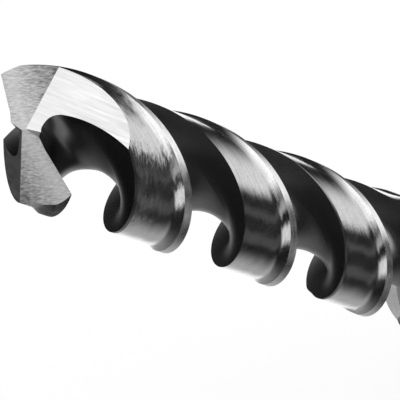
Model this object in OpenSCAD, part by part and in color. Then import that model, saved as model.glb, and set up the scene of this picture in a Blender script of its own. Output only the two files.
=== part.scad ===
// Straight-shank twist drill bit, two flutes, right-hand cutting, with a split
// 135 degree point. All sizes are millimetres. The drill stands on the flat end
// of its shank: the axis is +Z, z = 0 is the shank end and the point is up.
// At the height of the outer corners the leading edge of one land lies on +X.

/* [Overall] */
// Cutting diameter over the two margins at the outer corners
drill_d = 13; // [6:0.5:20]
// Overall length from the shank end to the chisel edge
overall_len = 151; // [140:1:180]
// Length from the chisel edge down to the end of the flutes
flute_len = 99; // [84:1:108]

/* [Shank] */
// Diameter of the cylindrical shank
shank_d = 13; // [13:0.1:14]
// Width and height of the 45 degree chamfer on the shank end
shank_chamfer = 0.6; // [0.2:0.1:1.5]

/* [Flutes] */
// Helix angle of the margins against the axis, in degrees
helix_angle = 40; // [34:0.5:42]
// Web thickness at the point, as a share of the cutting diameter
web_share = 0.16; // [0.13:0.005:0.2]
// Growth of the web thickness for each millimetre below the outer corners
web_growth = 0.032; // [0:0.002:0.036]
// Angle of the heel wall against the radius at the heel, in degrees
heel_wall_lean = 4.5; // [0:0.5:7]
// Height of the cutting face above the web circle where the root curve starts
face_rise = 1.9; // [1.2:0.1:2.6]
// Height of the heel wall above the web circle where the root curve ends
wall_rise = 1.6; // [1:0.1:2.2]
// Length over which the floors of the flutes rise to the shank
runout_len = 9; // [6:0.5:14]
// Radius of the flute floor where the flutes stop, as a share of the drill radius
runout_share = 0.76; // [0.6:0.02:0.8]

/* [Lands] */
// Angle taken by one land from its leading edge to its heel, in degrees
land_angle = 86.5; // [78:0.5:92]
// Angle taken by the full-diameter margin behind the leading edge, in degrees
margin_angle = 12; // [8:0.5:16]
// Angle of the hollow slope from the margin down to the cleared land, in degrees
slope_angle = 14; // [6:0.5:20]
// Radial clearance of the land behind the margin
land_clearance = 0.36; // [0.15:0.01:0.5]
// Length below the outer corners over which the lands are cleared at the heel
cleared_len = 70.4; // [60:0.2:74]
// Length by which the clearance runs on further at the margin than at the heel
cleared_slant = 6; // [0:0.5:8]
// Length over which the clearance fades out again
clearance_fade = 2.6; // [1:0.1:4]
// Loss of radius for each millimetre below the outer corners
back_taper = 0.0005; // [0.0002:0.0001:0.001]

/* [Point] */
// Point angle over the two lips, in degrees
point_angle = 135; // [128:1:140]
// Angle at the outer corner by which the lip runs ahead of the axis, in degrees
lip_lead = 7; // [5:0.5:9]
// Clearance angle of the primary facet behind the lip, in degrees
lip_relief = 16.3; // [10:0.1:20]
// Distance of the facet ridge behind the axis
ridge_offset = 0.22; // [0.1:0.01:0.3]
// Angle of the facet ridge against the lip, in degrees
ridge_angle = 41; // [36:0.5:46]
// Clearance angle of the heel facet behind the ridge, in degrees
heel_relief = 53.2; // [48:0.2:57]
// Angle of the inner lip of the split point against the main lip, in degrees
split_angle = 31; // [26:0.5:38]
// Lean of the wall of the split against the axis, in degrees
split_lean = 18.5; // [12:0.5:24]
// Half length of the chisel edge left between the two splits
chisel_half = 0.32; // [0.2:0.02:0.5]

/* [Hidden] */
// Radii, lead and heights
drill_r = drill_d / 2;
shank_r = shank_d / 2;
lead = PI * drill_d / tan(helix_angle);
web_r = web_share * drill_r;
lip_slope = 1 / tan(point_angle / 2);
// Plan direction of the lip, which runs ahead of the axis and ends at the outer
// corner on +X
lip_turn = -lip_lead;
lip_ahead = drill_r * sin(lip_lead);
lip_dir = [cos(lip_turn), sin(lip_turn), 0];
lip_side = [-sin(lip_turn), cos(lip_turn), 0];
corner = [drill_r, 0, 0];
// Fall of the primary facet, and its height over any plan point when the outer
// corner is at height 0
facet_fall = -lip_side - [0, 0, tan(lip_relief)];
facet_normal = upward(cross(lip_slope * [0, 0, 1] - lip_dir, facet_fall));
chisel_rise = plane_z(corner, facet_normal, [0, 0]);
corner_z = overall_len - chisel_rise;
flute_end = overall_len - flute_len;
flute_depth = corner_z - flute_end;
// Ridge between the primary facet and the heel facet
ridge_turn = lip_turn - ridge_angle;
ridge_dir = [cos(ridge_turn), sin(ridge_turn), 0];
ridge_side = [-sin(ridge_turn), cos(ridge_turn), 0];
ridge_point = on_facet(-ridge_offset * lip_side);
ridge_line = on_facet(-ridge_offset * lip_side + ridge_dir) - ridge_point;
heel_normal = upward(cross(ridge_line, -ridge_side - [0, 0, tan(heel_relief)]));
// Wall of the split that forms the inner lip of the opposite land: the inner lip
// starts at the end of the chisel edge
split_turn = lip_turn + 180 + split_angle;
split_dir = [cos(split_turn), sin(split_turn), 0];
split_side = [-sin(split_turn), cos(split_turn), 0];
chisel_line = upward_y(cross(facet_normal, half_turn(facet_normal)));
chisel_end = -chisel_half * chisel_line / norm(chisel_line);
split_point = half_turn(on_facet(half_turn(chisel_end)));
split_line = half_turn(on_facet(half_turn(chisel_end + split_dir))) - split_point;
split_fall = sin(split_lean) * split_side - [0, 0, cos(split_lean)];
split_normal = upward(cross(split_line, split_fall));
// Hollow of the slope behind the margin, and the share of the land height at
// which the root curve of a shallow flute stops
slope_power = 1.6;
end_limit = 0.95;
// Reach of the body into the shank and past the chisel edge, and the width of the
// blocks that grind the point
overlap = 2;
top_spare = 0.3;
block = 4 * drill_r;
// Fineness of the helical body
land_steps = 5;
slope_steps = 3;
margin_steps = 2;
face_steps = 5;
root_steps = 8;
body_steps = 90;
fade_steps = 4;
ring_fn = 96;

function upward(v) = v.z < 0 ? -v : v;
function upward_y(v) = v.y < 0 ? -v : v;
function half_turn(v) = [-v.x, -v.y, v.z];
function polar(r, a) = [r * cos(a), r * sin(a)];
function smooth(t) = t * t * (3 - 2 * t);
function share(x, lo, hi) = min(1, max(0, (x - lo) / (hi - lo)));
// Height of the plane through p with normal n over the plan point q
function plane_z(p, n, q) = p.z + ((p.x - q.x) * n.x + (p.y - q.y) * n.y) / n.z;
// Point of the primary facet over the plan point q
function on_facet(q) = [q.x, q.y, plane_z(corner, facet_normal, q)];

// Radius over the margin at a depth below the corners, and of the cleared land at
// a place across it that counts from 0 at the heel to 1 at the slope
function margin_r(depth) = drill_r - back_taper * max(0, depth);
function cleared(depth) = 1 - smooth(share(depth, cleared_len, cleared_len + clearance_fade));
function land_r(depth, across = 0) =
    margin_r(depth) - land_clearance * cleared(depth - cleared_slant * across);
// Half of the web thickness at a depth, with the rise of the floor at the end
function web_at(depth) = web_r + web_growth / 2 * max(0, depth);
function runout(depth) = pow(share(depth, flute_depth - runout_len, flute_depth), 2);
function core_r(depth) = web_at(depth) + (runout_share * drill_r - web_at(depth)) * runout(depth);

// Angle of the cutting face at a radius: the curve whose lip is straight
function face_angle(r) = asin(lip_ahead / r)
    + 360 / lead * lip_slope * sqrt(r * r - lip_ahead * lip_ahead);
function face_turn(r, depth) = face_angle(r) - face_angle(margin_r(depth));
// Radius at which the root curve takes over from the cutting face
function face_end(depth) = min(core_r(depth) + face_rise, end_limit * margin_r(depth));

// Heel of the opposite land, and the end of its straight wall
function heel_point(depth) = polar(land_r(depth), 180 - land_angle);
function wall_end(depth) = min(core_r(depth) + wall_rise, end_limit * land_r(depth));
function wall_point(depth) = heel_point(depth)
    - polar((land_r(depth) - wall_end(depth)) / cos(heel_wall_lean), 180 - land_angle - heel_wall_lean);

// Root curve between the cutting face and the heel wall, in turn and radius: it
// leaves both along the radius and touches the web circle in its middle
function dip(a, h, b, t) = pow(1 - t, 3) * a + 3 * t * (1 - t) * h + pow(t, 3) * b;
function root_curve(depth) =
    let (
        r0 = face_end(depth),
        a0 = face_turn(r0, depth),
        q = wall_point(depth),
        r3 = norm(q),
        a3 = atan2(q.y, q.x),
        h = (8 * core_r(depth) - r0 - r3) / 6
    )
    [for (i = [0:root_steps], t = [i / root_steps]) polar(dip(r0, h, r3, t), a0 + (a3 - a0) * smooth(t))];

// Half of the cross-section, from the heel of one land over its margin and down
// the cutting face to the heel wall of the next land
cleared_angle = land_angle - margin_angle - slope_angle;
function half_section(depth) = concat(
    [for (i = [0:land_steps], t = [i / land_steps])
        polar(land_r(depth, t), t * cleared_angle - land_angle)],
    [for (i = [1:slope_steps], t = [i / slope_steps])
        polar(land_r(depth, 1) + (margin_r(depth) - land_r(depth, 1)) * pow(t, slope_power),
              (t - 1) * slope_angle - margin_angle)],
    [for (i = [1:margin_steps])
        polar(margin_r(depth), (i / margin_steps - 1) * margin_angle)],
    [for (i = [1:face_steps - 1],
          r = [margin_r(depth) + (face_end(depth) - margin_r(depth)) * i / face_steps])
        polar(r, face_turn(r, depth))],
    root_curve(depth),
    [(wall_point(depth) + heel_point(depth)) / 2]
);

// Full cross-section turned to its place on the helix at height z
function section(z) =
    let (
        half = half_section(corner_z - z),
        turn = 360 * (z - corner_z) / lead,
        c = cos(turn),
        s = sin(turn)
    )
    [for (side = [1, -1], p = half) [side * (p.x * c - p.y * s), side * (p.x * s + p.y * c), z]];

// Heights of the slices of the body: even steps, with the fade of the clearance
// taken at its own heights
top_z = overall_len + top_spare;
fade_top = corner_z - cleared_len;
fade_end = fade_top - clearance_fade;
function ladder(lo, hi, n) = [for (i = [0:n - 1]) lo + (hi - lo) * i / n];
step_z = (top_z - flute_end) / body_steps;
slices = concat(
    ladder(flute_end - overlap, fade_end, ceil((fade_end - flute_end) / step_z)),
    ladder(fade_end, fade_top, fade_steps),
    ladder(fade_top, top_z, ceil((top_z - fade_top) / step_z)),
    [top_z]
);

// Skin of a stack of equal rings, closed by its first and last ring
module skin(rings) {
    n = len(rings[0]);
    last = len(rings) - 1;
    polyhedron(
        points = [for (ring = rings, p = ring) p],
        faces = concat(
            [[for (i = [0:n - 1]) i]],
            [[for (i = [0:n - 1]) last * n + n - 1 - i]],
            [for (j = [0:last - 1], i = [0:n - 1])
                [j * n + i, (j + 1) * n + i, j * n + (i + 1) % n]],
            [for (j = [0:last - 1], i = [0:n - 1])
                [j * n + (i + 1) % n, (j + 1) * n + i, (j + 1) * n + (i + 1) % n]]
        ),
        convexity = 12
    );
}

// Fluted length with its lands, margins and tapering web. Its foot reaches into
// the shank
module fluted_body() {
    color("silver") skin([for (z = slices) section(z)]);
}

// Plain cylindrical shank with a chamfered end
module shank() {
    color("silver") {
        cylinder(h = shank_chamfer, r1 = shank_r - shank_chamfer, r2 = shank_r, $fn = ring_fn);
        translate([0, 0, shank_chamfer])
            cylinder(h = flute_end - shank_chamfer, r = shank_r, $fn = ring_fn);
    }
}

// Everything above the plane through p with normal n, as a large block
module above(p, n) {
    translate([p.x, p.y, p.z + corner_z])
        rotate([0, acos(n.z / norm(n)), atan2(n.y, n.x)])
            translate([-block / 2, -block / 2, 0])
                cube(block);
}

// What one pass of the grinding wheels takes off: the primary facet behind the
// lip, and the heel facet that runs up to the wall of the split
module point_grind() {
    above(corner, facet_normal);
    intersection() {
        above(ridge_point, heel_normal);
        above(split_point, split_normal);
    }
}

// The whole drill: body and shank, with the point ground on both lands
module drill_bit() {
    difference() {
        union() {
            fluted_body();
            shank();
        }
        point_grind();
        rotate(180) point_grind();
    }
}

drill_bit();
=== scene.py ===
import math

import bpy
from mathutils import Matrix, Vector


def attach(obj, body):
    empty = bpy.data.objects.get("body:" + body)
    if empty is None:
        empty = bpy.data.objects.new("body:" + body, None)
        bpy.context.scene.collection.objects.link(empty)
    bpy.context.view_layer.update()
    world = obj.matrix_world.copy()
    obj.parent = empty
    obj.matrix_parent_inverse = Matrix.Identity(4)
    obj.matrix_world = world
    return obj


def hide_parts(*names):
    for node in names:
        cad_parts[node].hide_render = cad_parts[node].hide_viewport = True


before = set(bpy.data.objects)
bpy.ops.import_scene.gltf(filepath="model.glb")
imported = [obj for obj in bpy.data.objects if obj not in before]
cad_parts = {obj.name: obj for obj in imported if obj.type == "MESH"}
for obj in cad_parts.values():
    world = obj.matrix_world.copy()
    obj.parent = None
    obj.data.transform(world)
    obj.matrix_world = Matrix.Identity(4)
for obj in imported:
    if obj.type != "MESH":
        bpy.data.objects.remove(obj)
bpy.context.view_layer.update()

# Camera: it looks down on the point from above, about 25 degrees off the axis of
# the standing drill, rolled so that the drill runs from upper left to lower right.
camera_data = bpy.data.cameras.new("camera")
camera_data.sensor_width = 36
camera_data.lens = 438.44
camera_data.clip_end = 20
camera = bpy.data.objects.new("camera", camera_data)
bpy.context.scene.collection.objects.link(camera)
camera_right = Vector((-0.484158, -0.774964, -0.406229))
camera_up = Vector((0.804544, -0.576796, 0.141472))
camera_back = Vector((-0.343947, -0.258335, 0.902753))
camera_place = Vector((-0.156395, -0.116544, 0.522390))
camera_turn = Matrix((camera_right, camera_up, camera_back)).transposed()
camera.matrix_world = Matrix.Translation(camera_place) @ camera_turn.to_4x4()
bpy.context.scene.camera = camera
bpy.context.scene.view_settings.view_transform = "Standard"


# Drill: one bar of high speed steel. Two helical flutes are ground into it, the
# lands behind the margins are cleared, and the point is ground with four facets
# and a split web. The shank stays a plain cylinder. All its sizes are millimetres.
class Flow:
    """A value in a node tree. Arithmetic on it adds the nodes that work it out."""

    def __init__(self, tree, socket=None):
        self.tree = tree
        self.socket = socket

    def node(self, kind, settings=None, inputs=None, output=0):
        """A new node: its settings first, then the values or links of its sockets."""
        made = self.tree.nodes.new(kind)
        for name, value in (settings or {}).items():
            setattr(made, name, value)
        for key, value in (inputs or {}).items():
            for one in value if isinstance(value, list) else [value]:
                if isinstance(one, Flow):
                    self.tree.links.new(one.socket, made.inputs[key])
                else:
                    made.inputs[key].default_value = one
        return Flow(self.tree, made.outputs[output])

    def math(self, operation, *values):
        return self.node("ShaderNodeMath", {"operation": operation}, dict(enumerate(values)))

    def vector(self, operation, inputs):
        return self.node("ShaderNodeVectorMath", {"operation": operation}, inputs)

    def __add__(self, other):
        return self.math("ADD", self, other)

    def __sub__(self, other):
        return self.math("SUBTRACT", self, other)

    def __rsub__(self, other):
        return self.math("SUBTRACT", other, self)

    def __mul__(self, other):
        return self.math("MULTIPLY", self, other)

    def __truediv__(self, other):
        return self.math("DIVIDE", self, other)

    def __rtruediv__(self, other):
        return self.math("DIVIDE", other, self)

    def __pow__(self, other):
        return self.math("POWER", self, other)

    def __gt__(self, other):
        return self.math("GREATER_THAN", self, other)

    __radd__ = __add__
    __rmul__ = __mul__

    def sin(self):
        return self.math("SINE", self)

    def cos(self):
        return self.math("COSINE", self)

    def root(self):
        return self.math("SQRT", self)

    def least(self, other):
        return self.math("MINIMUM", self, other)

    def most(self, other):
        return self.math("MAXIMUM", self, other)

    def held(self):
        """The value held between 0 and 1."""
        return self.least(1).most(0)

    def eased(self):
        """A share from 0 to 1 that starts and stops softly."""
        return self * self * (3 - 2 * self)

    def towards(self, other, part):
        """The value at part 0, other at part 1."""
        return self + (other - self) * part

    def axis(self, number):
        """The x, y or z of a vector, by its number."""
        return self.node("ShaderNodeSeparateXYZ", None, {0: self}, number)


sizes = {
    "Drill radius": 6.5,
    "Corner height": 148.559,
    "Flute end": 52.0,
    "Lead": 48.67,
    "Web radius": 1.04,
    "Web growth": 0.016,
    "Land angle": math.radians(86.5),
    "Margin angle": math.radians(12),
    "Slope angle": math.radians(14),
    "Land clearance": 0.36,
    "Cleared length": 70.4,
    "Cleared slant": 6.0,
    "Clearance fade": 2.6,
    "Back taper": 0.0005,
    "Face rise": 1.9,
    "Wall rise": 1.6,
    "Heel wall lean": math.radians(4.5),
    "Run-out length": 9.0,
    "Run-out share": 0.76,
    "Shank chamfer": 0.6,
}
overall_len = 151.0
lip_lead = math.radians(7)
lip_slope = 1 / math.tan(math.radians(67.5))
lip_ahead = sizes["Drill radius"] * math.sin(lip_lead)

tree = bpy.data.node_groups.new("twist_drill", "GeometryNodeTree")
tree.interface.new_socket("Geometry", in_out="OUTPUT", socket_type="NodeSocketGeometry")
for name, value in sizes.items():
    socket = tree.interface.new_socket(name, in_out="INPUT", socket_type="NodeSocketFloat")
    socket.default_value = value
given = tree.nodes.new("NodeGroupInput")
size = {name: Flow(tree, given.outputs[name]) for name in sizes}
flow = Flow(tree)

# Rows of the skin climb the drill, columns go round it: from the heel over the
# land, the slope and the margin, down the cutting face, through the root and up
# the heel wall of the next land, and then the same once more for the other half.
columns = {"land": 14, "slope": 8, "margin": 4, "face": 16, "root": 26, "wall": 8}
half_columns = sum(columns.values())
row_count = 330
top_spare = 0.3
foot = 2.0
grid = flow.node(
    "GeometryNodeMeshGrid",
    None,
    {
        "Size X": 2.0 * half_columns,
        "Size Y": 1.0,
        "Vertices X": 2 * half_columns + 1,
        "Vertices Y": row_count + 1,
    },
)
place = flow.node("GeometryNodeInputPosition")


def marked(geometry, kind, domain, name, value):
    """The geometry with a value kept on its points or faces, under a name."""
    return flow.node(
        "GeometryNodeStoreNamedAttribute",
        {"data_type": kind, "domain": domain},
        {"Geometry": geometry, "Name": name, "Value": value},
    )


def mark(kind, name):
    return flow.node("GeometryNodeInputNamedAttribute", {"data_type": kind}, {"Name": name})


column = place.axis(0) + half_columns
stored = marked(grid, "FLOAT", "POINT", "column", column.math("ROUND", column))
stored = marked(stored, "FLOAT", "POINT", "climb", place.axis(1) + 0.5)
column = mark("FLOAT", "column")
climb = mark("FLOAT", "climb")

drill_r = size["Drill radius"]
foot_z = size["Flute end"] - foot
height = foot_z + (overall_len + top_spare - foot_z) * climb
depth = size["Corner height"] - height
below = depth.most(0)
in_half = column.math("FLOORED_MODULO", column, float(half_columns))
other_half = column.math("FLOOR", column / half_columns)
side = 1 - 2 * other_half.math("MODULO", other_half, 2.0)
steps = {}
edge_of = {}
edge = 0
for name, count in columns.items():
    steps[name] = ((in_half - edge) / count).held()
    edge += count
    edge_of[name] = edge

margin_r = drill_r - size["Back taper"] * below


def land_radius(across):
    fading = (depth - size["Cleared slant"] * across - size["Cleared length"]) / size["Clearance fade"]
    return margin_r - size["Land clearance"] * (1 - fading.held().eased())


def face_angle(radius):
    """How far the cutting face has turned at a radius, so that its lip is ground straight."""
    reach = (radius * radius - lip_ahead**2).root()
    return radius.math("ARCSINE", lip_ahead / radius) + reach * (2 * math.pi * lip_slope) / size["Lead"]


flute_depth = size["Corner height"] - size["Flute end"]
web_r = size["Web radius"] + size["Web growth"] * below
rising = ((depth - flute_depth) / size["Run-out length"] + 1).held()
core_r = web_r.towards(size["Run-out share"] * drill_r, rising * rising)

# Land, slope and margin
slope_hollow = 1.6
outer_r = land_radius(steps["land"]).towards(margin_r, steps["slope"] ** slope_hollow)
cleared_angle = size["Land angle"] - size["Margin angle"] - size["Slope angle"]
outer_turn = (
    cleared_angle * steps["land"]
    + size["Slope angle"] * steps["slope"]
    + size["Margin angle"] * steps["margin"]
    - size["Land angle"]
)
# Cutting face. Where the web fills the flute, it and the wall stop short of the rim
nearest_rim = 0.95
face_end = (core_r + size["Face rise"]).least(nearest_rim * margin_r)
face_r = margin_r.towards(face_end, steps["face"])
corner_turn = face_angle(margin_r)
face_turn = face_angle(face_r) - corner_turn
# Heel wall
heel_r = land_radius(0.0)
heel_turn = math.pi - size["Land angle"]
heel_x = heel_r * heel_turn.cos()
heel_y = heel_r * heel_turn.sin()
lean = size["Heel wall lean"]
wall_len = (heel_r - (core_r + size["Wall rise"]).least(nearest_rim * heel_r)) / lean.cos()
wall_x = heel_x - wall_len * (heel_turn - lean).cos()
wall_y = heel_y - wall_len * (heel_turn - lean).sin()
# Root curve, which touches the web halfway
root_start = face_angle(face_end) - corner_turn
root_stop = wall_x.math("ARCTAN2", wall_y, wall_x)
root_r = (wall_x * wall_x + wall_y * wall_y).root()
t = steps["root"]
low = (8 * core_r - face_end - root_r) / 6
dip = (1 - t) ** 3 * face_end + 3 * t * (1 - t) * low + t**3 * root_r
root_turn = root_start.towards(root_stop, t.eased())

past_margin = in_half > edge_of["margin"] + 0.5
past_face = in_half > edge_of["face"] + 0.5
past_root = in_half > edge_of["root"] + 0.5
radius = outer_r.towards(face_r, past_margin).towards(dip, past_face)
turn = outer_turn.towards(face_turn, past_margin).towards(root_turn, past_face)
flat_x = (radius * turn.cos()).towards(wall_x.towards(heel_x, steps["wall"]), past_root)
flat_y = (radius * turn.sin()).towards(wall_y.towards(heel_y, steps["wall"]), past_root)
twist = -2 * math.pi * depth / size["Lead"]
x = side * (flat_x * twist.cos() - flat_y * twist.sin())
y = side * (flat_x * twist.sin() + flat_y * twist.cos())


def placed(geometry, x, y, z):
    position = flow.node("ShaderNodeCombineXYZ", None, {0: x, 1: y, 2: z})
    return flow.node("GeometryNodeSetPosition", None, {"Geometry": geometry, "Position": position})


weld_reach = 0.0004


def welded(geometry):
    return flow.node("GeometryNodeMergeByDistance", None, {"Geometry": geometry, "Distance": weld_reach})


def zoned(geometry, zone):
    return marked(geometry, "INT", "FACE", "zone", zone)


# Each face keeps the number of its zone, which picks its finish
zones = ["flute", "land", "slope", "margin", "shank", "lip_facet", "heel_facet", "split_wall"]
past = {name: in_half > edge_of[name] for name in ("land", "slope", "margin")}
skin = welded(placed(stored, x, y, height))
skin = zoned(skin, 1 + past["land"] + past["slope"] - 3 * past["margin"])

# The open ends of the skin are filled flat
quarter_row = 0.25 / row_count
ends = ((climb > 1 - quarter_row, overall_len + top_spare), (quarter_row - climb > 0, foot_z))
caps = []
for ring, end_z in ends:
    outline = flow.node("GeometryNodeMeshToCurve", None, {"Mesh": skin, "Selection": ring})
    cap = flow.node("GeometryNodeFillCurve", {"mode": "NGONS"}, {"Curve": outline})
    lift = flow.node("ShaderNodeCombineXYZ", None, {2: end_z})
    caps.append(flow.node("GeometryNodeTransform", None, {"Geometry": cap, "Translation": lift}))
caps[1] = flow.node("GeometryNodeFlipFaces", None, {"Mesh": caps[1]})
body = welded(flow.node("GeometryNodeJoinGeometry", None, {0: [skin, *caps]}))
body = zoned(body, mark("INT", "zone"))

# Shank: one ring of the lathe for the end face, one for the chamfer, one at the top
shank_sides = 126
shank = flow.node(
    "GeometryNodeMeshCylinder",
    {"fill_type": "NGON"},
    {"Vertices": shank_sides, "Side Segments": 2, "Radius": drill_r, "Depth": 2.0},
)
level = place.axis(2)
end_ring = (0 - level) > 0.5
top_ring = level > 0.5
squeeze = 1 - end_ring * size["Shank chamfer"] / drill_r
shank_z = (1 - end_ring) * size["Shank chamfer"].towards(size["Flute end"], top_ring)
shank = placed(shank, place.axis(0) * squeeze, place.axis(1) * squeeze, shank_z)


def solid(operation, others, first=None):
    """The first mesh, if there is one, joined with the others, cut by them or kept inside them."""
    inputs = {"Mesh 2": others}
    if first is not None:
        inputs["Mesh 1"] = first
    return flow.node("GeometryNodeMeshBoolean", {"operation": operation, "solver": "MANIFOLD"}, inputs)


bar = solid("UNION", [body, zoned(shank, zones.index("shank"))])

# Point: each half is ground by the plane of the lip facet, and by the steep heel
# facet, which stops at the wall of the split
up = Vector((0, 0, 1))
corner = Vector((sizes["Drill radius"], 0, 0))


def heading(turn):
    """The level direction at a turn round the drill, and the one a quarter turn on."""
    ahead = Vector((math.cos(turn), math.sin(turn), 0))
    return ahead, Vector((-ahead.y, ahead.x, 0))


def upward(normal):
    return normal.normalized() * math.copysign(1, normal.z)


def half_turned(vector):
    return Vector((-vector.x, -vector.y, vector.z))


lip_turn = -lip_lead
lip_relief = math.radians(16.3)
lip_dir, lip_side = heading(lip_turn)
facet_normal = upward((lip_slope * up - lip_dir).cross(-lip_side - math.tan(lip_relief) * up))


def on_facet(point):
    """The point straight above or below this one, on the plane of the lip facet."""
    over = (corner - point).dot(facet_normal) / facet_normal.z
    return Vector((point.x, point.y, point.z + over))


ridge_offset = 0.22
ridge_back = math.radians(41)
heel_relief = math.radians(53.2)
ridge_dir, ridge_side = heading(lip_turn - ridge_back)
ridge_start = -ridge_offset * lip_side
ridge_point = on_facet(ridge_start)
ridge_line = on_facet(ridge_start + ridge_dir) - ridge_point
heel_normal = upward(ridge_line.cross(-ridge_side - math.tan(heel_relief) * up))

half_chisel = 0.32
split_ahead = math.radians(31)
split_lean = math.radians(18.5)
split_dir, split_side = heading(lip_turn + math.pi + split_ahead)
chisel_line = facet_normal.cross(half_turned(facet_normal))
chisel_line *= math.copysign(1, chisel_line.y)
chisel_end = -half_chisel * chisel_line.normalized()
split_point = half_turned(on_facet(half_turned(chisel_end)))
split_line = half_turned(on_facet(half_turned(chisel_end + split_dir))) - split_point
split_fall = math.sin(split_lean) * split_side - math.cos(split_lean) * up
split_normal = upward(split_line.cross(split_fall))
block = 26.0


def above(point, normal, zone):
    """A block that fills everything above the plane through point."""
    cube = flow.node("GeometryNodeMeshCube", None, {"Size": (block, block, block)})
    spin = (0, math.acos(normal.z), math.atan2(normal.y, normal.x))
    middle = point + Vector((0, 0, sizes["Corner height"])) + normal * block / 2
    cube = flow.node(
        "GeometryNodeTransform", None, {"Geometry": cube, "Rotation": spin, "Translation": middle}
    )
    return zoned(cube, zones.index(zone))


heel_block = above(ridge_point, heel_normal, "heel_facet")
split_block = above(split_point, split_normal, "split_wall")
cuts = [above(corner, facet_normal, "lip_facet"), solid("INTERSECT", [heel_block, split_block])]
half_turn = {"Rotation": (0, 0, math.pi)}
cuts += [flow.node("GeometryNodeTransform", None, {"Geometry": cut, **half_turn}) for cut in cuts]
drill = welded(solid("DIFFERENCE", cuts, bar))

# Edges that bend more than this stay crisp
crisp_bend = math.radians(12)
bend = flow.node("GeometryNodeInputMeshEdgeAngle") > crisp_bend
for domain, choice in (
    ("FACE", {"Shade Smooth": True}),
    ("EDGE", {"Selection": bend, "Shade Smooth": False}),
):
    drill = flow.node("GeometryNodeSetShadeSmooth", {"domain": domain}, {"Geometry": drill, **choice})

# Finishes. Lengths in them are millimetres on the drill, and z runs along its axis
finishes = {}


def finish_of(name, metallic):
    """A new finish: its shader node, a Flow in its tree and the place in millimetres."""
    material = bpy.data.materials.new(f"{name}_steel")
    material.use_nodes = True
    finishes[name] = material
    shader = material.node_tree.nodes["Principled BSDF"]
    shader.inputs["Metallic"].default_value = metallic
    inner = Flow(material.node_tree)
    place = inner.node("ShaderNodeTexCoord", None, None, "Object")
    return shader, inner, inner.vector("SCALE", {"Vector": place, "Scale": 1000.0})


def grain(place, stretch, detail=2.0, roughness=0.5, turn=(0, 0, 0)):
    """Noise from 0 to 1, with stretch features for each millimetre along x, y and z."""
    spun = place.node("ShaderNodeMapping", None, {"Vector": place, "Rotation": turn})
    scaled = place.vector("MULTIPLY", {0: spun, 1: stretch})
    texture = {"Vector": scaled, "Scale": 1.0, "Detail": detail, "Roughness": roughness}
    return place.node("ShaderNodeTexNoise", None, texture)


def leaned(inner, amount, lift=0.0):
    """The surface normal leaned round the drill by an amount, and up by lift."""
    normal = inner.node("ShaderNodeNewGeometry", None, None, "Normal")
    around = inner.vector("CROSS_PRODUCT", {0: (0, 0, 1), 1: normal})
    push = inner.vector("SCALE", {"Vector": around, "Scale": amount})
    push = inner.vector("ADD", {0: push, 1: (0, 0, lift)})
    return inner.vector("NORMALIZE", {0: inner.vector("ADD", {0: normal, 1: push})})


def drive(shader, grey, roughness, normal=None):
    """Link what changes over the surface: its grey, its roughness and, for some, its normal."""
    colour = grey.node("ShaderNodeCombineColor", None, {0: grey, 1: grey, 2: grey})
    grey.tree.links.new(colour.socket, shader.inputs["Base Color"])
    grey.tree.links.new(roughness.socket, shader.inputs["Roughness"])
    if normal is not None:
        grey.tree.links.new(normal.socket, shader.inputs["Normal"])


# Lands, slopes beside the margins, margins and shank. Grinding marks follow the helix,
# but on the shank, ground between wheels, they are rings. Near the point the steel is
# worn, and the lips' heat has darkened the first few millimetres.
worn_to = 13
worn_fade = 7
for name, metallic, tone, dullness, heated_to, lift in (
    ("land", 0.985, 0.66, 0.13, 2.8, 0.0),
    ("slope", 0.985, 0.6, 0.13, 5.0, 0.0),
    ("margin", 0.985, 0.84, 0.27, 5.2, 0.05),
    ("shank", 0.85, 0.54, 0.42, 0.0, 0.0),
):
    shader, inner, spot = finish_of(name, metallic)
    down = sizes["Corner height"] - spot.axis(2)
    unwound = 0.0 if name == "shank" else down * (2 * math.pi / sizes["Lead"])
    straight = inner.node(
        "ShaderNodeVectorRotate", {"rotation_type": "Z_AXIS"}, {"Vector": spot, "Angle": unwound}
    )
    waves = grain(straight, (0.7, 0.7, 0.35), 1.0)
    if name == "shank":
        marks = grain(spot, (0.2, 0.2, 2.6), 3.0)
        lines = grain(spot, (0.5, 0.5, 14.0), 2.0)
    else:
        marks = grain(straight, (2.4, 2.4, 0.35), 3.0)
        lines = grain(straight, (7.0, 7.0, 0.3), 2.0)
    patches = grain(straight, (2.3, 2.3, 1.7), 2.0)
    speckle = grain(spot, (5.0, 5.0, 5.0), 2.0)
    cloud = grain(spot, (0.45, 0.45, 0.45), 3.0)
    worn = 1 - ((down - worn_to) / worn_fade).held().eased()
    lean = (waves - 0.5) * 0.1 + (marks - 0.5) * 0.06 + (lines - 0.5) * 0.1 + (speckle - 0.5) * 0.06
    lean = lean + (patches - 0.5) * 0.4 * worn
    if name in ("land", "slope"):
        # The wheel's round edge leaves a soft hollow between the land and the slope
        phase = inner.math("ARCTAN2", straight.axis(1), straight.axis(0)) * (180 / math.pi)
        phase = inner.math("FLOORED_MODULO", phase, 180.0) - 180
        into_hollow = ((phase + 36) / 10).held().eased()
        out_of_hollow = ((phase + 26) / 5).held().eased()
        lean = lean - 0.06 * into_hollow + 0.15 * out_of_hollow
    heated = (1 - ((down - heated_to) / 2).held().eased()) * (1.25 - 0.8 * patches).held()
    shade = tone + (speckle - 0.5) * 0.3 + (cloud - 0.5) * 0.2 + (marks - 0.5) * 0.3
    dull = dullness + (cloud - 0.5) * 0.2 + (marks - 0.5) * 0.1 + heated * 0.15 + worn * 0.07
    drive(shader, shade * (1 - heated), dull, leaned(inner, lean, lift))

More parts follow.
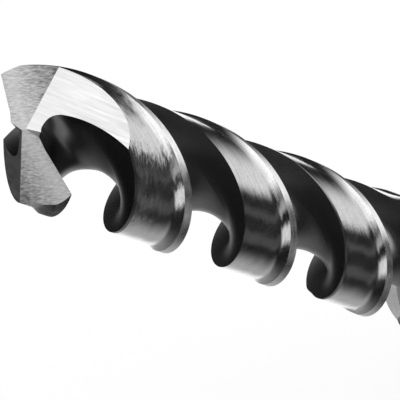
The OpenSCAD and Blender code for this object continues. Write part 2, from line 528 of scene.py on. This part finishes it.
# Flutes: ground along the helix and left dark by the hardening, which also makes them
# weak mirrors at a low angle. They are darkest at the point, and their grey is painted paler from 10 mm
# and palest after 30 mm, as a painted reflection.
shader, inner, spot = finish_of("flute", 0.98)
shader.inputs["Specular Tint"].default_value = (0.5, 0.5, 0.5, 1)
cloud = grain(spot, (0.3, 0.3, 0.3), 3.0)
down = sizes["Corner height"] - spot.axis(2)
further = ((down - 10) / 20).held().eased()
heated = 1 - ((down - 1.5) / 2.5).held().eased()
# further paints the flute grey paler away from the point: a painted reflection
shade = 0.26 + 0.13 * further - 0.13 * heated + (cloud - 0.5) * 0.04
drive(shader, shade, 0.26 + (cloud - 0.5) * 0.04, leaned(inner, -0.08 - 0.18 * further))

# Facets of the point: straight marks from the face of the wheel. The lip facets carry
# a painted shade: their grey is painted lightest at the lip and darker behind it
for name, tone, strength, fade, stretch, marks_turn in (
    ("lip_facet", 0.7, 3.0, 0.165, (1.9, 8.0, 1.9), -56),
    ("heel_facet", 0.5, 0.5, 0.0, (0.25, 4.0, 0.25), -33),
    ("split_wall", 0.3, 0.3, 0.0, (1.2, 12.0, 1.2), -56),
):
    shader, inner, spot = finish_of(name, 1)
    marks = grain(spot, stretch, 4.0, 0.6, (0, 0, math.radians(marks_turn)))
    across = spot.axis(1) * math.cos(lip_lead) + spot.axis(0) * math.sin(lip_lead)
    behind_lip = across.math("ABSOLUTE", across)
    scratches = (marks - 0.5) * strength * (0.35 + behind_lip * 0.28)
    # fade is the painted shade that darkens the lip facet's grey behind the lip
    drive(shader, tone * (1 - behind_lip * fade) * (1 + scratches), 0.38 + (marks - 0.5) * 0.2)

drill = flow.node("GeometryNodeTransform", None, {"Geometry": drill, "Scale": (0.001, 0.001, 0.001)})
drill = flow.node("GeometryNodeRealizeInstances", None, {"Geometry": drill})
zone = mark("INT", "zone")
same = {"data_type": "INT", "operation": "EQUAL"}
for number, name in enumerate(zones):
    chosen = flow.node("FunctionNodeCompare", same, {2: zone, 3: number})
    finish = {"Geometry": drill, "Selection": chosen, "Material": finishes[name]}
    drill = flow.node("GeometryNodeSetMaterial", None, finish)
tree.links.new(drill.socket, tree.nodes.new("NodeGroupOutput").inputs[0])

carrier = bpy.data.objects.new("carrier", bpy.data.meshes.new("carrier"))
bpy.context.scene.collection.objects.link(carrier)
modifier = carrier.modifiers.new("drill", "NODES")
modifier.node_group = tree
for item in tree.interface.items_tree:
    if item.in_out == "INPUT":
        modifier[item.identifier] = sizes[item.name]
drill_mesh = bpy.data.meshes.new_from_object(carrier.evaluated_get(bpy.context.evaluated_depsgraph_get()))
bpy.data.objects.remove(carrier)
for name in [a.name for a in drill_mesh.attributes if a.name in ("column", "climb")]:
    drill_mesh.attributes.remove(drill_mesh.attributes[name])
drill_piece = bpy.data.objects.new("drill", drill_mesh)
bpy.context.scene.collection.objects.link(drill_piece)
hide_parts("drill_bit")
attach(drill_piece, "root")

# Floor: a wide pale sheet that the drill stands on. What the camera sees of it is
# near white, and it keeps the drill's shadow. The steel doesn't mirror it, because
# the flutes in the photograph mirror something dark from below.
floor_reach = 6.0
floor_corners = [(a * floor_reach, b * floor_reach, 0) for a, b in ((-1, -1), (1, -1), (1, 1), (-1, 1))]
floor_mesh = bpy.data.meshes.new("floor")
floor_mesh.from_pydata(floor_corners, [], [(0, 1, 2, 3)])
floor = bpy.data.objects.new("floor", floor_mesh)
bpy.context.scene.collection.objects.link(floor)
floor_sheet = bpy.data.materials.new("floor_sheet")
floor_sheet.use_nodes = True
shader = floor_sheet.node_tree.nodes["Principled BSDF"]
shader.inputs["Base Color"].default_value = (0.9, 0.9, 0.9, 1)
shader.inputs["Roughness"].default_value = 0.9
inner = Flow(floor_sheet.node_tree)
glow = inner.node("ShaderNodeEmission", None, {"Color": (1, 1, 1, 1), "Strength": 1.06})
glow_share = 0.75 * inner.node("ShaderNodeLightPath", None, None, "Is Camera Ray")
lit = Flow(floor_sheet.node_tree, shader.outputs[0])
mixed = inner.node("ShaderNodeMixShader", None, {0: glow_share, 1: lit, 2: glow})
floor_sheet.node_tree.links.new(mixed.socket, floor_sheet.node_tree.nodes["Material Output"].inputs[0])
floor_mesh.materials.append(floor_sheet)
floor.visible_glossy = False

# Light: a pale studio. The camera sees it white, and the steel mirrors it as pale
# panels with dark screens between them, as in the photograph. Whatever isn't
# mirrored gets an even light from all round and two soft lamps.
world = bpy.data.worlds.new("studio")
world.use_nodes = True
bpy.context.scene.world = world
studio = Flow(world.node_tree)
ray = studio.node("ShaderNodeTexCoord")
bearing = studio.math("ARCTAN2", ray.axis(1), ray.axis(0)) * (180 / math.pi)
behind = studio.math("FLOORED_MODULO", bearing, 360.0)
rise = studio.math("ARCSINE", ray.axis(2)) * (180 / math.pi)


def panel(angle, outer_low, inner_low, inner_high, outer_high):
    """1 inside a soft-edged stretch of angles and 0 outside it."""
    coming = ((angle - outer_low) / (inner_low - outer_low)).held().eased()
    going = ((outer_high - angle) / (outer_high - inner_high)).held().eased()
    return coming * going


# 0 up to 63 degrees below the horizon and 1 from 38 degrees below it. The edges of
# the panels lean, so they shift with it
tilt = ((rise + 63) / 25).held()
right_coming = ((bearing + tilt * 13 + 124) / 25).held().eased()
right_going = ((-24 - bearing - tilt * 29) / (54 - 24 * tilt)).held().eased()
right_panel = right_coming * right_going * (0.86 + tilt * 0.8)
high_panel = panel(behind, 212, 236, 262, 285) * panel(rise, -36, -18, 60, 80) * 0.8
left_panel = panel(bearing + (tilt * 3).held() * 18, -4, 9, 42, 88) * (0.85 - 0.1 * tilt)
left_panel = left_panel + panel(bearing, -4, 9, 95, 148) * (0.43 - 0.33 * tilt)
left_panel = left_panel * (((bearing * 0.2).most(0) - rise - 55) / 12).held().eased()
back_panels = panel(behind, 166, 180, 191, 200) + panel(behind, 207, 214, 219, 230) * 0.5
back_panels = back_panels * panel(rise, -58, -46, -32, -12) * 1.05
low_panels = panel(behind, 154, 163, 173, 186) + panel(behind, 204, 212, 216, 226)
low_panels = low_panels * (1 - tilt) * 0.06
front_panel = panel(bearing, -60, -30, 15, 42) * panel(rise, -19, 0, 60, 80) * 0.8
front_panel = front_panel.most(panel(bearing, -85, -60, -42, -24) * panel(rise, -28, -12, 0, 14) * 0.7)
ceiling = ((rise - 14) / 18).held().eased() * 0.72
ceiling = ceiling * (1 - 0.68 * panel(bearing, 5, 25, 55, 80) * panel(rise, 45, 58, 90, 120))
screens = 0.016 - 0.008 * tilt + panel(bearing, -75, -50, -12, 0) * tilt * 0.012
glimmer = panel(behind, 125, 155, 163, 182) * panel(rise, -36, -22, -16, -2) * 0.06
mirrored = screens + right_panel.most(high_panel) + glimmer + left_panel + back_panels + low_panels
mirrored = mirrored + front_panel.most(ceiling)
even = 0.55
camera_ray, glossy_ray, clear_ray = (
    studio.node("ShaderNodeLightPath", None, None, f"Is {kind} Ray")
    for kind in ("Camera", "Glossy", "Transmission")
)
mirror_ray = glossy_ray.most(clear_ray)
strength = (even * (1 - mirror_ray) + mirrored * mirror_ray) * (1 - camera_ray) + camera_ray
background = world.node_tree.nodes["Background"]
background.inputs["Color"].default_value = (1, 1, 1, 1)
world.node_tree.links.new(strength.socket, background.inputs["Strength"])

lamp_aim = Vector((0, 0, 0.1))
lamp_width = 0.9
for name, lamp_place, power in (
    ("key_light", (-0.3, -1.1, 1.2), 12.0),
    ("fill_light", (0.9, 0.8, 1.0), 5.0),
):
    lamp_data = bpy.data.lights.new(name, "AREA")
    lamp_data.size = lamp_width
    lamp_data.energy = power
    lamp = bpy.data.objects.new(name, lamp_data)
    bpy.context.scene.collection.objects.link(lamp)
    lamp.location = lamp_place
    lamp.rotation_euler = (lamp_aim - Vector(lamp_place)).to_track_quat("-Z", "Y").to_euler()
